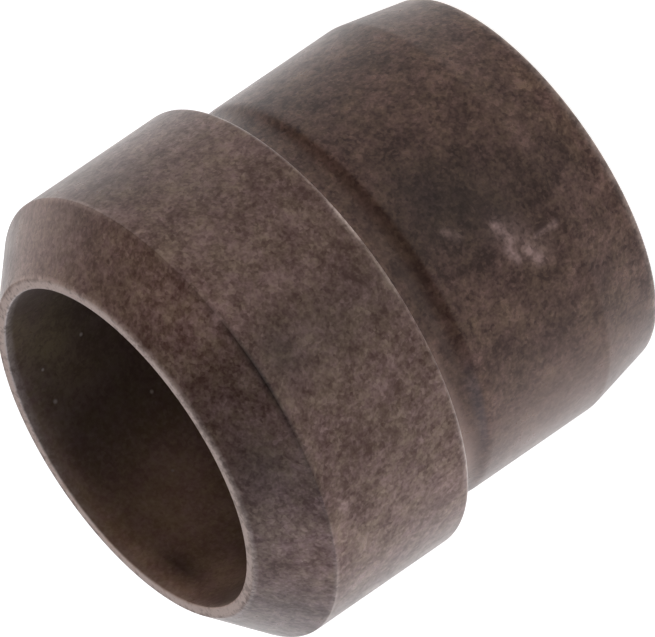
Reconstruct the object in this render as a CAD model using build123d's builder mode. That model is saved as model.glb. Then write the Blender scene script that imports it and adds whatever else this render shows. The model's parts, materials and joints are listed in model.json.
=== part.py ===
from build123d import *
from math import radians, tan
import os

# Cutting ring for an 8 mm tube in a 24 degree cone fitting, turned from one piece of steel.
# Frame: the axis is Z, the nose face lies on Z = 0 and the rear rim with the bore mouth is on top.
# All sizes are in millimetres and all angles in degrees.

# Bore that slips over the tube.
tube_diameter = 8.00
bore_clearance = 0.10

# Lengths along the axis, from the nose face up to the start of the rear cone.
nose_taper_length = 1.70
nose_cylinder_length = 3.43
neck_length = 1.05
collar_length = 3.79

# Wall of the nose cylinder, step from there out to the collar, and flat width of the rear rim.
nose_wall = 0.95
shoulder_step = 0.59
rim_width = 0.26

# Half-angles of the two seats, measured from the axis.
nose_taper_angle = 12.0
rear_cone_angle = 45.0

# Neck: a shallow round groove between the nose cylinder and the flat shoulder of the collar.
neck_groove_depth = 0.14
neck_root_radius = 0.42

# Cutting edges inside the nose: a short front tooth, a pocket, and a second edge behind it.
front_edge_land = 0.20
front_tooth_back_angle = 35.0
pocket_depth = 0.28
second_edge_height = 1.60

# Broken and rounded edges of the turned part.
nose_edge_radius = 0.10
taper_blend_radius = 0.60
neck_corner_radius = 0.20
shoulder_edge_radius = 0.10
cone_edge_radius = 0.04
rim_edge_radius = 0.10
bore_mouth_chamfer = 0.04

# The most of the shoulder's step that its root and its edge may take for their roundings.
root_share_of_step = 0.75
edge_share_of_step = 0.20

# Diameters and radii worked out from the sizes above.
bore_diameter = tube_diameter + bore_clearance
nose_diameter = bore_diameter + 2 * nose_wall
collar_diameter = nose_diameter + 2 * shoulder_step
bore_radius = bore_diameter / 2
pocket_radius = bore_radius + pocket_depth
rim_radius = bore_radius + rim_width
nose_radius = nose_diameter / 2
nose_face_radius = nose_radius - nose_taper_length * tan(radians(nose_taper_angle))
collar_radius = collar_diameter / 2

# Heights worked out from the sizes above.
pocket_bottom_height = front_edge_land + pocket_depth / tan(radians(front_tooth_back_angle))
neck_height = nose_taper_length + nose_cylinder_length
shoulder_height = neck_height + neck_length
cone_height = shoulder_height + collar_length
ring_length = cone_height + (collar_radius - rim_radius) / tan(radians(rear_cone_angle))

# Corners of the half section, as (radius, height).
front_edge = (bore_radius, 0)
nose_edge = (nose_face_radius, 0)
taper_end = (nose_radius, nose_taper_length)
neck_corner = (nose_radius, neck_height)
groove_bottom = (nose_radius - neck_groove_depth, neck_height + neck_length / 2)
neck_root = (nose_radius, shoulder_height)
shoulder_edge = (collar_radius, shoulder_height)
cone_edge = (collar_radius, cone_height)
rim_edge = (rim_radius, ring_length)
bore_mouth = (bore_radius, ring_length)
second_edge = (bore_radius, second_edge_height)
pocket_top = (pocket_radius, second_edge_height)
pocket_bottom = (pocket_radius, pocket_bottom_height)
front_land_end = (bore_radius, front_edge_land)

# Each rounded corner with its radius.
rounded_corners = (
    (nose_edge, nose_edge_radius),
    (taper_end, taper_blend_radius),
    (neck_root, min(neck_root_radius, root_share_of_step * shoulder_step)),
    (neck_corner, neck_corner_radius),
    (shoulder_edge, min(shoulder_edge_radius, edge_share_of_step * shoulder_step)),
    (cone_edge, cone_edge_radius),
    (rim_edge, rim_edge_radius),
)


def corner(sketch, point):
    """The vertex of a sketch that lies nearest to a (radius, height) point."""
    return sketch.vertices().sort_by_distance(Vector(*point))[0]


with BuildPart() as cutting_ring:
    with BuildSketch(Plane.XZ) as half_section:
        with BuildLine():
            Polyline(front_edge, nose_edge, taper_end, neck_corner)
            ThreePointArc(neck_corner, groove_bottom, neck_root)
            Polyline(neck_root, shoulder_edge, cone_edge, rim_edge, bore_mouth)
            Polyline(bore_mouth, second_edge, pocket_top, pocket_bottom, front_land_end, front_edge)
        make_face()
        for point, radius in rounded_corners:
            fillet(corner(half_section, point), radius)
        chamfer(corner(half_section, bore_mouth), bore_mouth_chamfer)
    revolve(axis=Axis.Z)

cutting_ring.part.label = "cutting_ring"

os.makedirs("parts", exist_ok=True)
export_step(cutting_ring.part, "parts/cutting_ring.step")
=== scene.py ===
import bpy
import json
import numpy as np
from math import atan2, cos, pi, radians, sin, sqrt, tan
from mathutils import Matrix, Vector


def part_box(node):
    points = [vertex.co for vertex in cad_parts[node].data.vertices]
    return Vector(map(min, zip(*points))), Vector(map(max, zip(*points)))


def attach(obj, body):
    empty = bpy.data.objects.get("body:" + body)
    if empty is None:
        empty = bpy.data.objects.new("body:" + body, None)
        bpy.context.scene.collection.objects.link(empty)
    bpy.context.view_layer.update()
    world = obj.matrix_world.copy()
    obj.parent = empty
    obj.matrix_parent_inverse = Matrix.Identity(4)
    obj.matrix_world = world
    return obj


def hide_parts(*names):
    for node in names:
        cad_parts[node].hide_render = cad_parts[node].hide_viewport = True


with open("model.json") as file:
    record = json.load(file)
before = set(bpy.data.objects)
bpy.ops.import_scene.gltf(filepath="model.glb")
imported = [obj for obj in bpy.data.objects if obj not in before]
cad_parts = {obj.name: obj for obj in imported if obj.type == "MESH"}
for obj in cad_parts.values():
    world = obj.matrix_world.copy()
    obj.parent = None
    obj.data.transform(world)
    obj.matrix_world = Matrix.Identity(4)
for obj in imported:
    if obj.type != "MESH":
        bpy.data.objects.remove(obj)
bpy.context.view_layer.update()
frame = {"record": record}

# Lengths are in metres, in the ring's own frame: the axis is Z, the nose face lies on Z = 0 and
# the rear rim is on top. A turn is an angle about the axis from the line that faces the camera,
# positive towards -X.
MM = 0.001

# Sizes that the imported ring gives.
ring_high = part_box("cutting_ring")[1]
collar_radius = ring_high.x
ring_length = ring_high.z
bore_mount = next(m for m in frame["record"]["mounts"] if m["name"] == "tube_bore")
bore_radius = bore_mount["dims"]["r_mm"] * MM

# Sizes of the turned outline.
nose_radius = 5.00 * MM
nose_taper_length = 1.70 * MM
nose_taper_angle = radians(12)
nose_cylinder_length = 3.43 * MM
neck_length = 1.05 * MM
neck_groove_depth = 0.14 * MM
neck_root_radius = 0.42 * MM
neck_corner_radius = 0.50 * MM
rim_width = 0.26 * MM
pocket_depth = 0.28 * MM
pocket_start = 0.60 * MM
front_edge_land = 0.20 * MM
second_edge_height = 1.60 * MM
nose_edge_radius = 0.10 * MM
taper_blend_radius = 0.60 * MM
shoulder_edge_radius = 0.13 * MM
cone_edge_radius = 0.04 * MM
rim_edge_radius = 0.10 * MM
bore_mouth_radius = 0.04 * MM
cutting_edge_radius = 0.012 * MM

# Places along the axis, and radii, worked out from the sizes.
rim_radius = bore_radius + rim_width
neck_height = nose_taper_length + nose_cylinder_length
shoulder_height = neck_height + neck_length
cone_height = ring_length - (collar_radius - rim_radius)
nose_face_radius = nose_radius - nose_taper_length * tan(nose_taper_angle)
pocket_radius = bore_radius + pocket_depth

# How finely the surface is divided.
steps_round = 360
row_spacing_outside = 0.085 * MM
row_spacing_bore = 0.22 * MM
arc_steps = 5

# The photograph's frame and the camera that was fitted to it.
photo_width, photo_height = 655, 637
focal_pixels = 24197.0
pixels_per_mm = 46.15
axis_to_sight = radians(67.18)
axis_above_level = radians(34.40)
rim_centre_x, rim_centre_y = 124.9, 448.9
sensor_width = 36.0

# The coat: the sizes of its clouds, its tinges and its crystal clusters, how much the single
# crystals' tones count beside the clouds, and how deep its relief is.
cloud_size = 0.9 * MM
tinge_size = 0.7 * MM
crystal_size = 0.09 * MM
crystal_share = 0.15
relief_depth = 0.006 * MM

# The mottle's values that give the coat its darkest and its lightest tone, and the power of the
# steps between them.
darkest_mottle, lightest_mottle = 0.30, 0.70
tone_power = 1.3

# Where the tinge's noise is read, so that it doesn't follow the clouds.
tinge_offset = (0.031, 0.017, 0.023)

# Half the width of the border between the darker nose and neck and the collar above them.
coat_border = 0.05 * MM

# In the bore, how far the coat's mottle is evened out, and towards which share of its light tone.
bore_evenness = 0.65
bore_tone_share = 0.4

# Pale grains of dust that stick to the oiled bore: height in mm, turn in degrees, radius in mm.
dust_grains = (
    (10.47, -155, 0.070), (9.31, -140, 0.060), (10.47, -143, 0.050),
    (9.00, 166, 0.050), (8.33, -170, 0.060),
)


def linear(code):
    """The linear colour of an sRGB hex code, such as 5d463f."""
    parts = np.array([int(code[i:i + 2], 16) for i in (0, 2, 4)]) / 255
    return (*np.where(parts <= 0.04045, parts / 12.92, ((parts + 0.055) / 1.055) ** 2.4), 1.0)


def add(tree, kind, inputs=(), **settings):
    """A new node of a kind with its settings, and its inputs set to values or linked to outputs."""
    made = tree.nodes.new(kind)
    for name, value in settings.items():
        setattr(made, name, value)
    for key, value in dict(inputs).items():
        if isinstance(value, bpy.types.NodeSocket):
            tree.links.new(value, made.inputs[key])
        else:
            made.inputs[key].default_value = value
    return made


# The outline

def arc(centre, radius, start, end, steps):
    """Points of a circle's arc: the centre plus the radius along angles evenly spaced from start to
    end, measured from the direction away from the axis towards the rear rim."""
    angles = np.linspace(start, end, steps + 1)
    return np.column_stack([centre[0] + radius * np.cos(angles), centre[1] + radius * np.sin(angles)])


def rounded(before, at, after, radius, steps=arc_steps):
    """The arc that rounds a corner between two straight sides. Its ends lie the radius times the
    tangent of half the turn from the corner, and its centre a radius to the side of both."""
    before, at, after = (np.array(p, float) for p in (before, at, after))
    come = (at - before) / np.linalg.norm(at - before)
    go = (after - at) / np.linalg.norm(after - at)
    turn = atan2(come[0] * go[1] - come[1] * go[0], come @ go)
    reach = radius * tan(abs(turn) / 2)
    side = np.sign(turn) * np.array([-come[1], come[0]])
    centre = at - come * reach + side * radius
    start = atan2(-side[1], -side[0])
    return arc(centre, radius, start, start + turn, steps)


def neck():
    """The neck groove from the nose cylinder to the shoulder: a small outward arc, the groove's own
    wide arc, and the root's arc, which touches the flat shoulder. Each pair of circles touches where
    the line through their centres meets them, so the directions run on without a corner."""
    half = neck_length / 2
    groove_radius = (half ** 2 + neck_groove_depth ** 2) / (2 * neck_groove_depth)
    groove = np.array([nose_radius - neck_groove_depth + groove_radius, neck_height + half])
    lip_side = nose_radius - neck_corner_radius
    lip_gap = sqrt((groove_radius + neck_corner_radius) ** 2 - (groove[0] - lip_side) ** 2)
    lip = np.array([lip_side, groove[1] - lip_gap])
    root_height = shoulder_height - neck_root_radius
    root_rise = sqrt((groove_radius - neck_root_radius) ** 2 - (root_height - groove[1]) ** 2)
    root = np.array([groove[0] - root_rise, root_height])
    lip_angle = atan2(groove[1] - lip[1], groove[0] - lip[0])
    root_angle = atan2(root[1] - groove[1], root[0] - groove[0]) % (2 * pi)
    return np.vstack([
        arc(lip, neck_corner_radius, 0, lip_angle, 4),
        arc(groove, groove_radius, pi + lip_angle, root_angle, 9)[1:],
        arc(root, neck_root_radius, root_angle, pi / 2, 9)[1:],
    ])


def filled(points, spacing):
    """Points with more put evenly on each straight run that is longer than the spacing."""
    runs = []
    for start, end in zip(points[:-1], points[1:]):
        count = max(1, int(np.ceil(np.linalg.norm(end - start) / spacing)))
        share = np.arange(count)[:, None] / count
        runs.append(start + (end - start) * share)
    return np.vstack(runs)


def ring_outline():
    """The closed outline of the half section as (radius, height) rows, starting at the front edge
    inside the nose and running outwards, up the outside, over the rim and down the bore."""
    front_edge = (bore_radius, 0)
    nose_edge = (nose_face_radius, 0)
    taper_end = (nose_radius, nose_taper_length)
    neck_corner = (nose_radius, neck_height)
    neck_root = (nose_radius, shoulder_height)
    shoulder_edge = (collar_radius, shoulder_height)
    cone_edge = (collar_radius, cone_height)
    rim_edge = (rim_radius, ring_length)
    bore_mouth = (bore_radius, ring_length)
    second_edge = (bore_radius, second_edge_height)
    pocket_top = (pocket_radius, second_edge_height)
    pocket_bottom = (pocket_radius, pocket_start)
    land_end = (bore_radius, front_edge_land)
    outside = np.vstack([
        rounded(land_end, front_edge, nose_edge, cutting_edge_radius, 3),
        rounded(front_edge, nose_edge, taper_end, nose_edge_radius),
        rounded(nose_edge, taper_end, neck_corner, taper_blend_radius),
        neck(),
        rounded(neck_root, shoulder_edge, cone_edge, shoulder_edge_radius, 8),
        rounded(shoulder_edge, cone_edge, rim_edge, cone_edge_radius),
        rounded(cone_edge, rim_edge, bore_mouth, rim_edge_radius),
        rounded(rim_edge, bore_mouth, second_edge, bore_mouth_radius),
    ])
    inside = np.vstack([
        outside[-1:],
        rounded(bore_mouth, second_edge, pocket_top, cutting_edge_radius, 3),
        rounded(second_edge, pocket_top, pocket_bottom, cutting_edge_radius, 3),
        rounded(pocket_top, pocket_bottom, land_end, cutting_edge_radius, 3),
        rounded(pocket_bottom, land_end, front_edge, cutting_edge_radius, 3),
        outside[:1],
    ])
    return np.vstack([filled(outside, row_spacing_outside), filled(inside, row_spacing_bore)])


# The surface

def round_shape(outline):
    """Every outline row turned about Z: x is minus the radius times the sine of the turn, y minus
    the radius times its cosine, so turn 0 faces the camera. Returns points and turns as grids."""
    turns = np.linspace(-pi, pi, steps_round, endpoint=False)
    radius, height = outline[:, :1], outline[:, 1:]
    points = np.stack(
        [-radius * np.sin(turns), -radius * np.cos(turns), height + 0 * turns], axis=-1
    )
    return points, np.broadcast_to(turns, points.shape[:2])


def ring_faces(rows, columns):
    """Quads between neighbouring rows and columns of a grid that closes on itself both ways."""
    row, column = np.meshgrid(np.arange(rows), np.arange(columns), indexing="ij")
    next_row, next_column = (row + 1) % rows, (column + 1) % columns
    corners = [
        row * columns + column,
        next_row * columns + column,
        next_row * columns + next_column,
        row * columns + next_column,
    ]
    return np.stack([c.ravel() for c in corners], axis=1)


def patches(points, turns, places):
    """Soft round patches, added up. Each is its strength times e to the minus squared distance from
    its middle, where the distance along the axis is measured in parts of the patch's height and the
    distance round the ring in parts of its breadth."""
    height = points[..., 2] / MM
    radius = np.hypot(points[..., 0], points[..., 1]) / MM
    total = np.zeros(height.shape)
    for (middle_height, middle_turn), (tall, broad), strength in places:
        away = (turns - radians(middle_turn) + pi) % (2 * pi) - pi
        distance = ((height - middle_height) / tall) ** 2 + (away * radius / broad) ** 2
        total += strength * np.exp(-distance)
    return total


def on_bore(points):
    """1 on the walls inside the ring and 0 outside; the border runs round the middle of the rim."""
    radius = np.hypot(points[..., 0], points[..., 1])
    return np.where(radius < (bore_radius + rim_radius) / 2, 1.0, 0.0)


def edge_rub_and_highlights(points, turns):
    """How far handling has worn the dark coat off each point, 0 to 1, with painted highlights on some
    edges. Each turned edge gives a soft band: a strength times e to the minus squared distance from
    the edge's circle, over the band's width squared. The strength is higher along some stretches,
    which at the sides are painted highlights. The flat rim is worn all over, and its outer edge less
    than the rest."""
    radius = np.hypot(points[..., 0], points[..., 1])
    height = points[..., 2]
    # Radius and height of an edge, the band's width, its strength, and its brighter stretches, of
    # which those at the sides are painted highlights. Those are patches so tall that only their turn
    # and breadth count.
    edges = (
        (collar_radius, shoulder_height, 0.10 * MM, 0.06, (
            ((6.2, -14.5), (9, 0.6), 0.75), ((6.2, 1.0), (9, 0.5), 0.25),
            ((6.2, 52.0), (9, 1.2), 0.75), ((6.2, -72.0), (9, 1.0), 0.30),
        )),
        (collar_radius, cone_height, 0.05 * MM, 0.0, (
            ((10, -64.0), (9, 2.2), 0.22), ((10, 68.0), (9, 1.9), 0.25),
        )),
        (nose_face_radius, 0, 0.12 * MM, 0.40, ()),
    )
    # Below the rim's level the rub fades out over a depth. Near the rim's outer edge it fades by a
    # share, from a width inside that edge over a run.
    rim_fade_start, rim_fade_depth = 0.01 * MM, 0.05 * MM
    outer_fade_width, outer_fade_run, outer_fade_share = 0.10 * MM, 0.12 * MM, 0.6
    rub_and_highlights = np.zeros(radius.shape)
    for edge_radius, edge_height, width, strength, stretches in edges:
        distance = ((radius - edge_radius) ** 2 + (height - edge_height) ** 2) / width ** 2
        strength = strength + patches(points, turns, stretches)
        rub_and_highlights = np.maximum(rub_and_highlights, strength * np.exp(-distance))
    below_rim = np.clip((ring_length - rim_fade_start - height) / rim_fade_depth, 0, 1)
    outer = np.clip((radius - rim_radius + outer_fade_width) / outer_fade_run, 0, 1)
    on_rim = (1 - below_rim) * (1 - outer_fade_share * outer)
    return np.maximum(rub_and_highlights, on_rim)


def painted_light_and_stains(points, turns):
    """How much lighter or darker the coat is made in large soft places: 0.2 is a fifth lighter. They
    are partly the coat's own uneven tone and partly painted light and shade. The bore has places of
    its own."""
    # On the cone: painted light at the sides, painted shade near the front, and last a painted shadow
    # line along its edge with the collar.
    cone = (
        ((10.7, 22.0), (0.5, 1.0), -0.35),
        ((10.4, -20.0), (0.7, 1.3), 0.45),
        ((10.1, -42.0), (0.4, 0.9), 0.20),
        ((10.3, 52.0), (0.7, 1.2), 0.40),
        ((9.96, 4.0), (0.07, 2.7), -0.60),
    )
    # On the collar: partly the coat's own uneven tone, partly painted light and shade.
    collar = (
        ((8.8, 4.0), (1.4, 0.9), -0.12),
        ((9.2, -64.0), (0.9, 1.3), -0.36),
        ((8.1, -42.0), (0.5, 0.7), -0.20),
        ((5.95, -74.0), (0.3, 1.3), -0.40),
        ((9.3, 1.0), (0.4, 0.6), -0.20),
        ((6.6, 58.0), (0.6, 1.6), 0.30),
        ((8.6, 60.0), (2.0, 1.6), 0.25),
    )
    # In the neck: painted shade in the groove beside the shoulder, and painted highlights on the lip
    # where the groove meets the nose.
    neck_painted_shade_and_highlights = (
        ((5.60, 12.0), (0.22, 1.0), -0.25),
        ((5.50, 27.0), (0.13, 0.9), -0.25),
        ((5.28, 46.0), (0.14, 1.1), -0.25),
        ((5.00, 46.0), (0.14, 1.2), 0.38),
        ((5.02, -30.0), (0.10, 0.9), 0.25),
    )
    # On the nose: partly the coat's own uneven tone, partly painted light and shade.
    nose = (
        ((4.6, -57.0), (0.9, 1.6), -0.18),
        ((3.7, -6.0), (1.5, 1.2), -0.38),
        ((4.4, -14.0), (0.7, 0.9), -0.25),
        ((3.0, 6.0), (0.5, 0.6), -0.20),
        ((0.35, 0.0), (0.3, 3.5), 0.30),
    )
    # Painted shade: a darker streak runs down the whole near side, which faces the camera.
    near_side_painted_shade = (((5.6, 2.0), (9.0, 0.9), -0.18),)
    outside = patches(points, turns, cone + collar + neck_painted_shade_and_highlights + nose + near_side_painted_shade)
    # In the bore: painted light where light falls through the mouth onto the far wall, and a painted
    # shadow beside it.
    bore = patches(points, turns, (
        ((10.0, 155.0), (1.7, 1.8), 2.3),
        ((8.6, 168.0), (0.9, 1.2), 0.8),
        ((11.2, 160.0), (0.45, 3.0), 3.5),
        ((11.12, 128.0), (0.2, 0.6), 1.2),
        ((10.2, 120.0), (0.7, 0.9), 1.5),
        ((10.52, 137.0), (0.22, 0.70), -1.5),
        ((10.45, -158.0), (0.8, 0.9), 0.2),
        ((9.2, -125.0), (1.2, 1.0), -0.3),
    ))
    return np.where(on_bore(points) > 0.5, bore, outside)


def olive_cast(points, turns):
    """The olive cast that old oil leaves inside the bore near its mouth, 0 to 1, as soft patches."""
    inside = patches(points, turns, (
        ((10.1, -132.0), (0.7, 0.9), 0.52),
        ((9.6, -150.0), (0.6, 0.6), 0.25),
        ((10.9, -122.0), (0.3, 0.7), 0.30),
    ))
    return np.clip(on_bore(points) * inside, 0, 1)


def painted_sheen_and_highlights(points, turns):
    """Where a paler, greyer painted sheen and painted highlights are mixed in, 0 to 1: down the far
    side of the nose, in the neck beside it and, more thinly, along the rest of the neck."""
    painted_sheen = patches(points, turns, (
        ((5.42, 3.0), (0.30, 3.2), 0.14),
        ((2.9, 70.0), (3.4, 2.1), 0.45),
        ((5.28, -28.0), (0.14, 2.2), 0.10),
        ((5.84, 32.0), (0.08, 0.9), 0.30),
        ((5.78, 47.0), (0.12, 0.9), 0.42),
        ((5.68, 65.0), (0.24, 1.0), 0.80),
    ))
    return np.where(on_bore(points) > 0.5, 0, painted_sheen)


def scuffs(points, turns):
    """Light scrapes, 0 to 1. A scrape runs straight from one place to another on the unrolled
    surface, and fades as e to the minus squared distance from that line over its width squared."""
    height = points[..., 2] / MM
    along = turns * np.hypot(points[..., 0], points[..., 1]) / MM
    # Start and end as (height in mm, turn in degrees), then width in mm and strength.
    scrapes = (
        ((3.20, 6.0), (3.06, 11.6), 0.11, 0.65),
        ((3.24, 12.8), (3.12, 16.4), 0.10, 0.60),
        ((2.82, 15.6), (2.66, 19.4), 0.14, 0.58),
        ((2.50, 14.0), (1.92, 14.2), 0.07, 0.45),
        ((2.10, 14.0), (2.02, 14.6), 0.06, 0.40),
        ((3.10, 8.0), (2.60, 17.0), 0.32, 0.22),
        ((4.32, 0.2), (4.08, 3.4), 0.09, 0.28),
        ((10.00, -12.9), (10.02, -12.2), 0.06, 0.9),
        ((9.55, 41.2), (9.47, 42.2), 0.10, 0.6),
    )
    worn = np.zeros(height.shape)
    for start, end, width, strength in scrapes:
        local_radius = nose_radius / MM if start[0] < neck_height / MM else collar_radius / MM
        a = np.array([start[0], radians(start[1]) * local_radius])
        b = np.array([end[0], radians(end[1]) * local_radius])
        run = b - a
        share = np.clip(((height - a[0]) * run[0] + (along - a[1]) * run[1]) / (run @ run), 0, 1)
        distance = (height - a[0] - share * run[0]) ** 2 + (along - a[1] - share * run[1]) ** 2
        worn = np.maximum(worn, strength * np.exp(-distance / width ** 2))
    return np.where(on_bore(points) > 0.5, 0, worn)


def make_mesh(name, points, faces, attributes):
    """A mesh object at the origin from whole arrays, smooth, with one float attribute for each
    named array."""
    mesh = bpy.data.meshes.new(name)
    mesh.vertices.add(len(points))
    mesh.vertices.foreach_set("co", points.astype(np.float32).ravel())
    mesh.loops.add(faces.size)
    mesh.loops.foreach_set("vertex_index", faces.astype(np.int32).ravel())
    mesh.polygons.add(len(faces))
    mesh.polygons.foreach_set("loop_start", np.arange(0, faces.size, 4, dtype=np.int32))
    mesh.update(calc_edges=True)
    mesh.validate()
    mesh.shade_smooth()
    for key, values in attributes.items():
        layer = mesh.attributes.new(key, "FLOAT", "POINT")
        layer.data.foreach_set("value", values.astype(np.float32).ravel())
    made = bpy.data.objects.new(name, mesh)
    bpy.context.scene.collection.objects.link(made)
    return made


# Materials

def phosphated_turned_steel():
    """Turned steel with a manganese phosphate coating, oiled: a dull, fine-grained brown grey that
    shines only at a glancing angle, with paler worn edges. Painted light, painted shade and a painted
    sheen are mixed into its colour."""
    material = bpy.data.materials.new("phosphated_turned_steel")
    material.use_nodes = True
    tree = material.node_tree
    tree.nodes.clear()
    place = add(tree, "ShaderNodeTexCoord").outputs["Object"]
    # The mottle is five octaves of noise of equal strength, from the clouds down to a sixteenth of
    # their size.
    mottle = add(tree, "ShaderNodeTexNoise", {
        "Vector": place, "Scale": 1 / cloud_size, "Detail": 4.0, "Roughness": 1.0,
    }).outputs["Fac"]
    # Olive and mauve tinges in patches, with finer ones in them.
    tinge = add(tree, "ShaderNodeTexNoise", {
        "Vector": add(tree, "ShaderNodeMapping", {
            "Vector": place, "Location": tinge_offset,
        }).outputs["Vector"],
        "Scale": 1 / tinge_size, "Detail": 3.0, "Roughness": 0.9,
    }).outputs["Fac"]
    # Crystal clusters, each with a tone of its own.
    crystals = add(tree, "ShaderNodeTexVoronoi", {
        "Vector": place, "Scale": 1 / crystal_size,
    }, feature="F1").outputs["Color"]
    crystal_tone = add(tree, "ShaderNodeSeparateColor", {"Color": crystals}).outputs["Red"]
    grain = add(tree, "ShaderNodeMath", {
        0: add(tree, "ShaderNodeMath", {0: crystal_tone, 1: 0.5}, operation="SUBTRACT").outputs[0],
        1: crystal_share, 2: mottle,
    }, operation="MULTIPLY_ADD").outputs[0]
    inside = add(tree, "ShaderNodeAttribute", attribute_name="on_bore").outputs["Fac"]
    # The power makes the steps from dark to light even for the eye.
    spread = add(tree, "ShaderNodeMath", {
        0: add(tree, "ShaderNodeMapRange", {
            "Value": grain, "From Min": darkest_mottle, "From Max": lightest_mottle,
        }).outputs["Result"],
        1: tone_power,
    }, operation="POWER").outputs[0]
    # The bore's coat is the more even one.
    spread = add(tree, "ShaderNodeMix", {
        "Factor": add(tree, "ShaderNodeMath", {
            0: inside, 1: bore_evenness,
        }, operation="MULTIPLY").outputs[0],
        "A": spread, "B": bore_tone_share,
    }, data_type="FLOAT").outputs["Result"]
    rear_tone = add(tree, "ShaderNodeMix", {
        "Factor": spread, "A": linear("422820"), "B": linear("826c65"),
    }, data_type="RGBA").outputs[2]
    front_tone = add(tree, "ShaderNodeMix", {
        "Factor": spread, "A": linear("2b1108"), "B": linear("6f564c"),
    }, data_type="RGBA").outputs[2]
    # The nose and neck are darker than the collar and cone.
    height = add(tree, "ShaderNodeSeparateXYZ", {"Vector": place}).outputs["Z"]
    front = add(tree, "ShaderNodeMapRange", {
        "Value": height, "From Min": shoulder_height - coat_border,
        "From Max": shoulder_height + coat_border, "To Min": 1.0, "To Max": 0.0,
    }).outputs["Result"]
    tone = add(tree, "ShaderNodeMix", {
        "Factor": front, "A": rear_tone, "B": front_tone,
    }, data_type="RGBA").outputs[2]
    tinge_spread = add(tree, "ShaderNodeMapRange", {
        "Value": tinge, "From Min": 0.38, "From Max": 0.62,
    }).outputs["Result"]
    tinge_colour = add(tree, "ShaderNodeMix", {
        "Factor": tinge_spread, "A": linear("fbfdea"), "B": linear("fdf6f9"),
    }, data_type="RGBA").outputs[2]
    coating = add(tree, "ShaderNodeMix", {
        "Factor": 1.0, "A": tone, "B": tinge_colour,
    }, data_type="RGBA", blend_type="MULTIPLY").outputs[2]
    # Inside the ring the whole coat is a little cooler and greener.
    coating = add(tree, "ShaderNodeMix", {
        "Factor": inside, "A": coating, "B": linear("ecf8f4"),
    }, data_type="RGBA", blend_type="MULTIPLY").outputs[2]
    # The olive cast, the worn edges with their painted highlights and the scrapes are broken up by
    # the mottle.
    patchy = add(tree, "ShaderNodeMapRange", {
        "Value": grain, "From Min": 0.38, "From Max": 0.62, "To Min": 0.55, "To Max": 1.35,
    }).outputs["Result"]
    olive = add(tree, "ShaderNodeMath", {
        0: add(tree, "ShaderNodeAttribute", attribute_name="olive_cast").outputs["Fac"], 1: patchy,
    }, operation="MULTIPLY", use_clamp=True).outputs[0]
    coating = add(tree, "ShaderNodeMix", {
        "Factor": olive, "A": coating, "B": linear("7e6c50"),
    }, data_type="RGBA").outputs[2]
    # Painted light and shade, together with the coat's own uneven tone, scale the colour.
    painted_light_and_stain = add(tree, "ShaderNodeAttribute", attribute_name="painted_light_and_stains").outputs["Fac"]
    coating = add(tree, "ShaderNodeVectorMath", {
        "Vector": coating,
        "Scale": add(tree, "ShaderNodeMath", {0: painted_light_and_stain, 1: 1.0}, operation="ADD").outputs[0],
    }, operation="SCALE").outputs["Vector"]
    # The painted sheen and painted highlights make the coat paler and greyer.
    painted_sheen = add(tree, "ShaderNodeAttribute", attribute_name="painted_sheen_and_highlights").outputs["Fac"]
    coating = add(tree, "ShaderNodeMix", {
        "Factor": painted_sheen, "A": coating, "B": linear("8a7268"),
    }, data_type="RGBA").outputs[2]
    # Worn edges are pale, and so are the painted highlights along some of them.
    rub_and_highlights = add(tree, "ShaderNodeMath", {
        0: add(tree, "ShaderNodeAttribute", attribute_name="edge_rub_and_highlights").outputs["Fac"], 1: patchy,
    }, operation="MULTIPLY", use_clamp=True).outputs[0]
    scrape = add(tree, "ShaderNodeMath", {
        0: add(tree, "ShaderNodeAttribute", attribute_name="scuffs").outputs["Fac"], 1: patchy,
    }, operation="MULTIPLY", use_clamp=True).outputs[0]
    scraped = add(tree, "ShaderNodeMix", {
        "Factor": scrape, "A": coating, "B": linear("a38781"),
    }, data_type="RGBA").outputs[2]
    rubbed_and_highlighted = add(tree, "ShaderNodeMix", {
        "Factor": rub_and_highlights, "A": scraped, "B": linear("cfbdb3"),
    }, data_type="RGBA").outputs[2]
    # A grain of dust hides up to 65 percent of the coat, and fades out over the outer 70 percent of
    # its radius. Farther away, the value of the grains before it stays.
    dust = 0.0
    for level, turn, size in dust_grains:
        spot = (-bore_radius * sin(radians(turn)), -bore_radius * cos(radians(turn)), level * MM)
        away = add(tree, "ShaderNodeVectorMath", {0: place, 1: spot}, operation="DISTANCE")
        dust = add(tree, "ShaderNodeMapRange", {
            "Value": away.outputs["Value"], "From Min": 0.3 * size * MM, "From Max": size * MM,
            "To Min": 0.65, "To Max": dust,
        }).outputs["Result"]
    colour = add(tree, "ShaderNodeMix", {
        "Factor": dust, "A": rubbed_and_highlighted, "B": linear("b5a79c"),
    }, data_type="RGBA").outputs[2]
    # Where the coat is lighter, it is also a little smoother.
    roughness = add(tree, "ShaderNodeMapRange", {
        "Value": mottle, "From Min": darkest_mottle, "From Max": lightest_mottle,
        "To Min": 0.36, "To Max": 0.26,
    }).outputs["Result"]
    relief = add(tree, "ShaderNodeBump", {
        "Height": grain, "Strength": 1.0, "Distance": relief_depth,
    }).outputs["Normal"]
    # The bore's wall mirrors less than the outside.
    gloss = add(tree, "ShaderNodeMapRange", {
        "Value": inside, "To Min": 0.25, "To Max": 0.12,
    }).outputs["Result"]
    # The oil film tints what the coat mirrors, and fine dust on it gives a faint sheen.
    steel = add(tree, "ShaderNodeBsdfPrincipled", {
        "Base Color": colour, "Roughness": roughness, "Normal": relief, "Specular IOR Level": gloss,
        "Specular Tint": linear("fff4ef"), "Sheen Weight": 0.12, "Sheen Roughness": 0.4,
    })
    add(tree, "ShaderNodeOutputMaterial", {"Surface": steel.outputs["BSDF"]})
    return material


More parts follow.
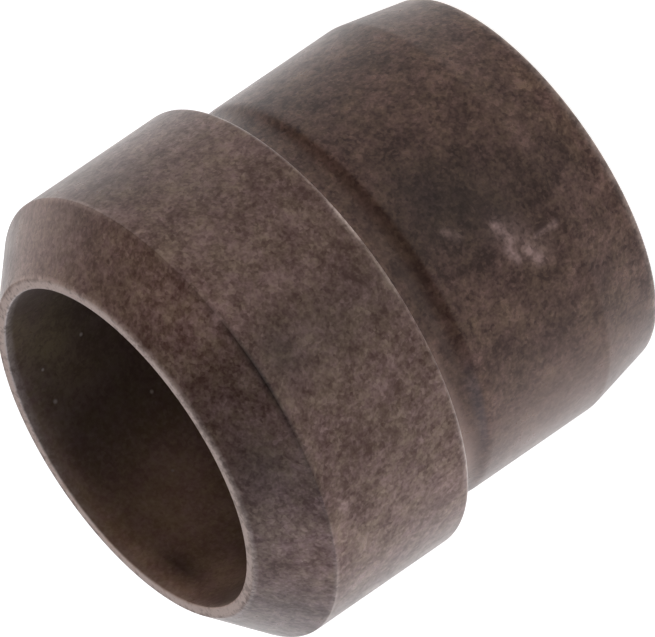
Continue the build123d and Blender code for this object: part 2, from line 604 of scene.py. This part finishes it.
def light_table():
    """Opal acrylic lit from below, as under a small part in a studio: plain white and shadowless."""
    material = bpy.data.materials.new("opal_acrylic")
    material.use_nodes = True
    surface = material.node_tree.nodes["Principled BSDF"]
    surface.inputs["Base Color"].default_value = linear("c8c8c8")
    surface.inputs["Roughness"].default_value = 0.8
    surface.inputs["Specular IOR Level"].default_value = 0.1
    surface.inputs["Emission Color"].default_value = (1, 1, 1, 1)
    surface.inputs["Emission Strength"].default_value = 0.9
    return material


# Stage

def floor():
    """A round white table under the ring, its top level with the nose face."""
    radius, corners = 0.8, 64
    turns = np.linspace(0, 2 * pi, corners, endpoint=False)
    points = np.column_stack([radius * np.cos(turns), radius * np.sin(turns), 0 * turns])
    mesh = bpy.data.meshes.new("table_top")
    mesh.from_pydata(points.tolist(), [], [list(range(len(points)))])
    mesh.materials.append(light_table())
    made = bpy.data.objects.new("table_top", mesh)
    bpy.context.scene.collection.objects.link(made)


def soft_box(name, turn, rise, spread, height_spread, radiance, colour, distance=0.35):
    """A soft light that faces the ring from a turn and a rise, both in degrees, and fills a spread
    of turn and height as seen from it. An area light of power P and area A shines with a radiance
    of P over pi times A."""
    width = 2 * distance * tan(radians(spread / 2))
    tall = 2 * distance * tan(radians(height_spread / 2))
    light = bpy.data.lights.new(name, "AREA")
    light.shape = "RECTANGLE"
    light.size, light.size_y = width, tall
    light.energy = radiance * pi * width * tall
    light.color = linear(colour)[:3]
    turn, rise = radians(turn), radians(rise)
    way = Vector((-sin(turn) * cos(rise), -cos(turn) * cos(rise), sin(rise)))
    made = bpy.data.objects.new(name, light)
    made.location = Vector((0, 0, ring_length / 2)) + way * distance
    made.rotation_euler = way.to_track_quat("Z", "Y").to_euler()
    bpy.context.scene.collection.objects.link(made)


def studio():
    """Soft boxes behind and at both sides of the ring, each 45 degrees wide and 30 tall, one
    overhead, and a dim room. Nothing stands in front: the side that faces the camera has only the
    table's light."""
    # Turn and rise in degrees, radiance and colour.
    boxes = (
        (90, 15, 2.3, "e2edff"), (135, 15, 1.25, "f4f7ff"), (225, 15, 1.95, "ffefeb"),
        (90, 45, 1.25, "e2edff"), (135, 45, 0.53, "f4f7ff"), (180, 45, 0.17, "ffffff"),
        (225, 45, 0.62, "ffefeb"), (270, 45, 0.85, "ffe6dd"),
    )
    for turn, rise, radiance, colour in boxes:
        soft_box("soft_box_%d_%d" % (turn, rise), turn, rise, 45, 30, radiance, colour)
    soft_box("top_box", 180, 88, 60, 60, 0.42, "ffffff")
    world = bpy.data.worlds.new("room")
    world.use_nodes = True
    world.node_tree.nodes["Background"].inputs["Color"].default_value = (1, 1, 1, 1)
    world.node_tree.nodes["Background"].inputs["Strength"].default_value = 0.03
    bpy.context.scene.world = world
    bpy.context.scene.view_settings.view_transform = "Standard"


def camera():
    """The camera of the photograph. Its line of sight makes axis_to_sight with the ring's axis, and
    it is rolled so that the nose points axis_above_level above the picture's level to the right.
    The rim's centre falls on its pixel, at the distance that gives the measured pixels per mm."""
    back = Vector((0, -sin(axis_to_sight), cos(axis_to_sight)))
    level = Vector((1, 0, 0))
    upward = back.cross(level)
    roll = -(pi / 2 + axis_above_level)
    right = cos(roll) * level + sin(roll) * upward
    up = -sin(roll) * level + cos(roll) * upward
    pixel = MM / pixels_per_mm
    across = (rim_centre_x - photo_width / 2) * pixel
    rise = (photo_height / 2 - rim_centre_y) * pixel
    rim_centre = Vector((0, 0, ring_length))
    place = rim_centre - right * across - up * rise + back * focal_pixels * pixel
    lens = bpy.data.cameras.new("photo_camera")
    lens.sensor_width = sensor_width
    lens.lens = sensor_width * focal_pixels / photo_width
    made = bpy.data.objects.new("photo_camera", lens)
    made.matrix_world = Matrix.Translation(place) @ Matrix((right, up, back)).transposed().to_4x4()
    bpy.context.scene.collection.objects.link(made)
    bpy.context.scene.camera = made


def cutting_ring():
    """The ring as one closed turned surface with its coating."""
    points, turns = round_shape(ring_outline())
    rows, columns = turns.shape
    made = make_mesh("ring_body", points.reshape(-1, 3), ring_faces(rows, columns), {
        "edge_rub_and_highlights": edge_rub_and_highlights(points, turns),
        "scuffs": scuffs(points, turns),
        "painted_light_and_stains": painted_light_and_stains(points, turns),
        "olive_cast": olive_cast(points, turns),
        "painted_sheen_and_highlights": painted_sheen_and_highlights(points, turns),
        "on_bore": on_bore(points),
    })
    made.data.materials.append(phosphated_turned_steel())
    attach(made, "root")
    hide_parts("cutting_ring")


camera()
studio()
floor()
cutting_ring()
